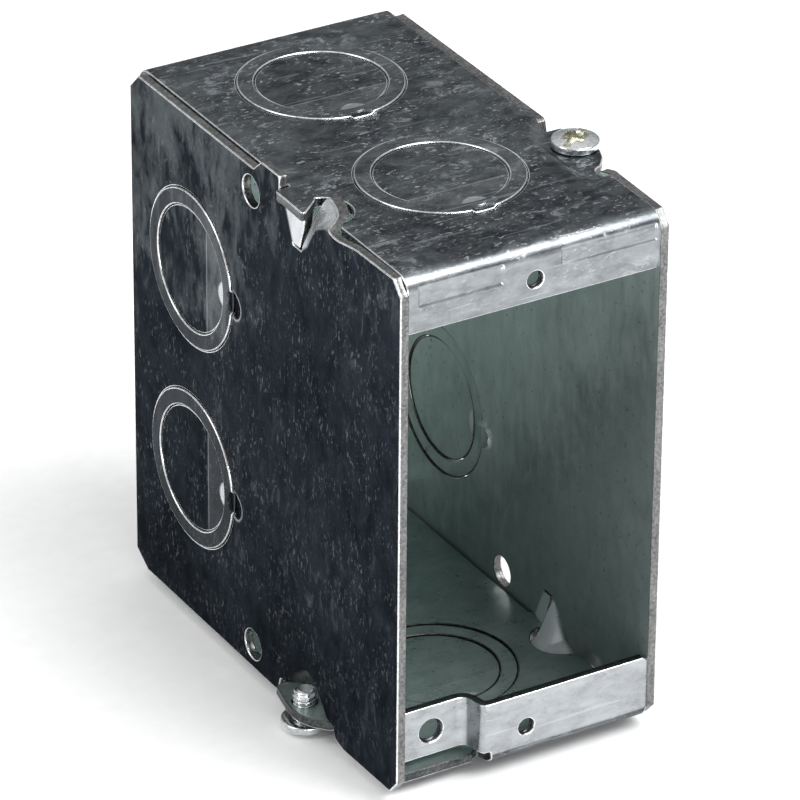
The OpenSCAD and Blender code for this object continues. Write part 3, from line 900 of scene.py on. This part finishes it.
# ---------- knockouts ----------
RING_SINK = 0.02
DISC_SINK = 0.27
DISC_MARK_R = 2.6    # half-moon mark on a disc's front edge
DISC_MARK_AT = DISC_R + 0.6
CREASE = 5.4
KO_SLACK = 0.12


def tie_bumps(r, size):
    """A circle whose radius carries the torn remains of the ties at +-50 degrees to the rear."""
    turns = np.linspace(0, 2 * math.pi, 200, endpoint=False)
    radius = np.full(200, r)
    for at in (math.radians(50), math.radians(-50)):
        gap = np.abs((turns - at + math.pi) % (2 * math.pi) - math.pi) * r
        radius = radius + size * np.exp(-(gap / 0.7) ** 2)
    return list(zip(radius * np.cos(turns), radius * np.sin(turns)))


def make_knockout(name, place, grain_out, grain_in, turned, mark_light_shade):
    """place(a, b, up): rearward, across and outward of the knockout's middle -> millimetres."""
    def ring_surface(uv):
        a, b = uv[:, 0], uv[:, 1]
        up = -RING_SINK - pry_dimple(a, b, PRY_R + 0.1)
        return place(a, b, up)

    def disc_surface(uv):
        a, b = uv[:, 0], uv[:, 1]
        gap = np.hypot(a + DISC_MARK_AT, b) - DISC_MARK_R
        up = -DISC_SINK - 0.12 * smooth(-gap / 0.3 + 0.4) - 0.035 * soft_plus(-a - CREASE, 0.12)
        return place(a, b, up)

    def ring_tone(uv):
        # the ring a little lighter all over, with painted shade in its pry mark
        gap = np.hypot(uv[:, 0] + PRY_AT, uv[:, 1]) - PRY_R
        return np.clip(0.06 - (mark_light_shade + 0.1) * smooth(-gap / 0.2 + 0.3), -1, 1)

    def disc_tone(uv):
        # painted highlights: a bright line on the crease, the part in front of it a little lighter, and the
        # half-moon mark on the front edge
        gap = np.hypot(uv[:, 0] + DISC_MARK_AT, uv[:, 1]) - DISC_MARK_R
        crease = 0.3 * np.exp(-((uv[:, 0] + CREASE) / 0.14) ** 2) + 0.07 * (uv[:, 0] < -CREASE)
        return np.clip(crease + (0.35 + 0.7 * mark_light_shade) * smooth(-gap / 0.3 + 0.4), 0, 1)

    across = spread([(-16, 0.8), (16, 0)])
    along = spread([(-16, 0.8), (-CREASE - 0.4, 0.1), (-CREASE + 0.4, 0.8), (16, 0)])
    loops = [tie_bumps(RING_R - 0.02, 0.05), circle(0, 0, DISC_R + KO_SLACK, 140)]
    ring = sheet(name + "_ring_piece", loops, ring_surface, (across, across),
                 [grain_out, grain_in, arris, cut], [(-RING_R, -RING_R + 3, -3.4, 3.4, 0.25)],
                 thickness=SHEET - RING_SINK, step=0.6, turned=turned, tone=ring_tone)
    disc = sheet(name + "_disc_piece", [tie_bumps(DISC_R - 0.02, 0.04)], disc_surface, (along, across),
                 [grain_out, grain_in, arris, cut], [(-DISC_R, -DISC_R + 2.6, -3.4, 3.4, 0.2)],
                 thickness=SHEET - DISC_SINK - 0.3, step=0.6, turned=turned, tone=disc_tone)
    for obj, kind in ((ring, "_ring"), (disc, "_disc")):
        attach(obj, name + kind)
        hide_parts(name + kind)


def make_knockouts():
    def on_wall(centre):
        return lambda a, b, up: np.stack([-b, centre + a, HALF_H + up], 1)

    def on_plate(z):
        return lambda a, b, up: np.stack([HALF_W + up, KO_SIDE + a, z + b], 1)

    for side, turned in (("top", False), ("bottom", True)):
        for end, y in (("front", KO_FRONT), ("rear", KO_REAR)):
            name = f"{side}_{end}"
            make_knockout(name, on_wall(y), wall_out, wall_in, turned, 0.0)
    for side, turned in (("right", False), ("left", True)):
        for end, up in (("upper", 1), ("lower", -1)):
            name = f"{side}_{end}"
            z = KO_SIDE_Z * up * (-1 if turned else 1)
            make_knockout(name, on_plate(z), plate_out, plate_in, turned, 0.9)


# ---------- gang screws ----------
zinc = cut_metal("bright_zinc", (0.55, 0.57, 0.58), (0.82, 0.84, 0.84), 0.16)
yellow_zinc = cut_metal("recess_zinc", (0.42, 0.41, 0.33), (0.85, 0.84, 0.74), 0.2)
SCREW_SIDES = 144
SLOT_TURN = math.radians(35)
RECESS = 1.85
DOME = 0.62


def head_height(x, y):
    """Height of the head's top over its washer face, with its slot and square recess."""
    r = np.hypot(x, y)
    dome = HEAD_H - DOME * (r / HEAD_R) ** 2.6
    c, s = math.cos(SLOT_TURN), math.sin(SLOT_TURN)
    a, b = x * c + y * s, y * c - x * s
    slot = smooth((SLOT_W / 2 - np.abs(b)) / 0.1 + 0.5) * smooth((3.55 - np.abs(a)) / 0.3 + 0.5)
    square = smooth((RECESS - np.maximum(np.abs(a), np.abs(b))) / 0.1 + 0.5)
    floor = np.minimum(HEAD_H - 0.95 * slot, HEAD_H - 1.4 * square)
    return np.minimum(dome, floor), np.maximum(slot, square)


def make_screw(name, body, at_z, turned):
    """A cylindrical head with a domed, slotted top, over a threaded shank."""
    rim = HEAD_R
    # top of the head as a height map inside its rim
    steps = spread([(-rim, 0.16), (-RECESS - 0.06, 0.04), (-RECESS + 0.06, 0.13), (-SLOT_W / 2 - 0.06, 0.04),
                    (-SLOT_W / 2 + 0.06, 0.13), (SLOT_W / 2 - 0.06, 0.04), (SLOT_W / 2 + 0.06, 0.13),
                    (RECESS - 0.06, 0.04), (RECESS + 0.06, 0.16), (rim, 0)])
    gx, gy = np.meshgrid(steps, steps)
    c, s = math.cos(SLOT_TURN), math.sin(SLOT_TURN)
    points = np.stack([(gx * c - gy * s).ravel(), (gx * s + gy * c).ravel()], 1)
    edge = np.array(circle(0, 0, rim - 0.16, SCREW_SIDES))
    inside, near = in_region(points, [edge])
    points = points[inside & (near > 0.05)]
    flat = np.concatenate([edge, points])
    around = [(k, (k + 1) % SCREW_SIDES) for k in range(SCREW_SIDES)]
    out = delaunay_2d_cdt([Vector(p) for p in flat], around, [], 1, 1e-6)
    order = np.array([ids[0] for ids in out[3]])
    triangles = facing_up(flat, order[np.array(out[2], int)])
    h, deep = head_height(flat[:, 0], flat[:, 1])
    verts = [np.stack([flat[:, 0], flat[:, 1], h], 1)]
    faces = triangles.tolist()
    kinds = [1 if d > 0.5 else 0 for d in deep[triangles].mean(1)]
    # side of the head, washer face and threaded shank, ring by ring
    turns = np.linspace(0, 2 * math.pi, SCREW_SIDES, endpoint=False)
    top = HEAD_H - DOME
    rings = [(rim - 0.08, top - 0.01), (rim - 0.02, top - 0.1), (rim, top - 0.22), (rim, 0.3),
             (rim - 0.03, 0.17), (rim - 0.1, 0.07), (rim - 0.26, 0.0),
             (THREAD_R + 0.35, 0.0), (THREAD_R + 0.1, -0.05)]
    rings = [(r, z, 0.0) for r, z in rings]
    levels = 110
    for k in range(levels + 1):
        z = -0.12 - (SCREW_LEN - 0.12) * k / levels
        taper = max(0.0, -z - (SCREW_LEN - 0.75)) * 0.75
        start = smooth((-z - 0.12) / 0.4)
        rings.append((THREAD_R - taper, z, 0.42 * float(start)))
    rings += [(THREAD_R - 0.9, -SCREW_LEN, 0.0), (0.4, -SCREW_LEN, 0.0)]
    before = np.arange(SCREW_SIDES)
    total = len(flat)
    for r, z, height in rings:
        phase = (-z / PITCH + turns / (2 * math.pi)) % 1.0
        crest = smooth(1.25 - np.abs(phase - 0.5) * 3.0)
        radius = r - height * (1 - crest)
        verts.append(np.stack([radius * np.cos(turns), radius * np.sin(turns), np.full(SCREW_SIDES, z)], 1))
        ring = total + np.arange(SCREW_SIDES)
        total += SCREW_SIDES
        faces += np.stack([before, ring, np.roll(ring, -1), np.roll(before, -1)], 1).tolist()
        kinds += [0] * SCREW_SIDES
        before = ring
    verts.append(np.array([[0, 0, -SCREW_LEN]]))
    faces += [[int(a), total, int(b)] for a, b in zip(before, np.roll(before, -1))]
    kinds += [0] * SCREW_SIDES
    verts = np.concatenate(verts)
    verts = verts + [HALF_W, SCREW_Y, at_z]
    if turned:
        verts = half_turned(verts)
    obj = build(name, verts, faces, kinds, [zinc, yellow_zinc])
    obj.data.set_sharp_from_angle(angle=math.radians(38))
    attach(obj, body)
    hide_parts(name.replace("_visual", ""))


# ---------- put together ----------
wrap = make_wrap()
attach(wrap, "box")
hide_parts("body")
for plate_name, is_turned in (("right_side_plate", False), ("left_side_plate", True)):
    plate = make_plate(plate_name + "_sheet", is_turned)
    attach(plate, "box")
    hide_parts(plate_name)
make_knockouts()
make_screw("top_gang_screw_visual", "top_screw", EAR_OUT + 0.1, False)
make_screw("bottom_gang_screw_visual", "bottom_screw", EAR_OUT + BACKED_OFF, True)


# ---------- stage ----------
def make_stage():
    size = 3.0
    low = cad_low.z - 0.0002
    mesh = bpy.data.meshes.new("floor")
    n = 24
    side = np.linspace(-size, size, n + 1)
    gx, gy = np.meshgrid(side, side)
    verts = np.stack([gx.ravel(), gy.ravel(), np.full(gx.size, low)], 1)
    faces = [(j * (n + 1) + i, j * (n + 1) + i + 1, (j + 1) * (n + 1) + i + 1, (j + 1) * (n + 1) + i)
             for j in range(n) for i in range(n)]
    mesh.from_pydata(verts.tolist(), [], faces)
    floor = bpy.data.objects.new("floor", mesh)
    bpy.context.scene.collection.objects.link(floor)
    material, tree, shader = nodes_of("floor_paper")
    fibre = noise(tree, coordinates(tree, (1, 1, 1)), 300, 3, 0.5)
    link(tree, ramp(tree, fibre, [(0.3, 0.83), (0.7, 0.86)]), shader.inputs["Base Color"])
    shader.inputs["Roughness"].default_value = 0.9
    mesh.materials.append(material)


def area_light(name, at, aim, size, power):
    data = bpy.data.lights.new(name, "AREA")
    data.shape = "RECTANGLE"
    data.size, data.size_y = size
    data.energy = power
    light = bpy.data.objects.new(name, data)
    light.location = at
    light.rotation_mode = "QUATERNION"
    light.rotation_quaternion = (Vector(aim) - Vector(at)).to_track_quat("-Z", "Y")
    bpy.context.scene.collection.objects.link(light)


def make_light():
    world = bpy.data.worlds.new("studio")
    bpy.context.scene.world = world
    world.use_nodes = True
    tree = world.node_tree
    split = tree.nodes.new("ShaderNodeSeparateXYZ")
    link(tree, tree.nodes.new("ShaderNodeTexCoord").outputs["Generated"], split.inputs["Vector"])
    sky = ramp(tree, split.outputs["Z"], [(0.0, (0.3, 0.31, 0.32)), (0.35, (0.5, 0.51, 0.52)), (0.8, 1.0)])
    link(tree, sky, tree.nodes["Background"].inputs["Color"])
    tree.nodes["Background"].inputs["Strength"].default_value = 0.9
    middle = (0, -0.045, 0)
    area_light("key", (0.5, -0.8, 1.3), middle, (0.9, 0.9), 26)
    area_light("side", (-1.3, 0.1, 1.0), middle, (0.6, 1.2), 12)
    area_light("front", (-0.1, -1.6, 0.1), middle, (0.8, 0.5), 20)


make_stage()
make_light()
bpy.context.scene.view_settings.view_transform = "Standard"
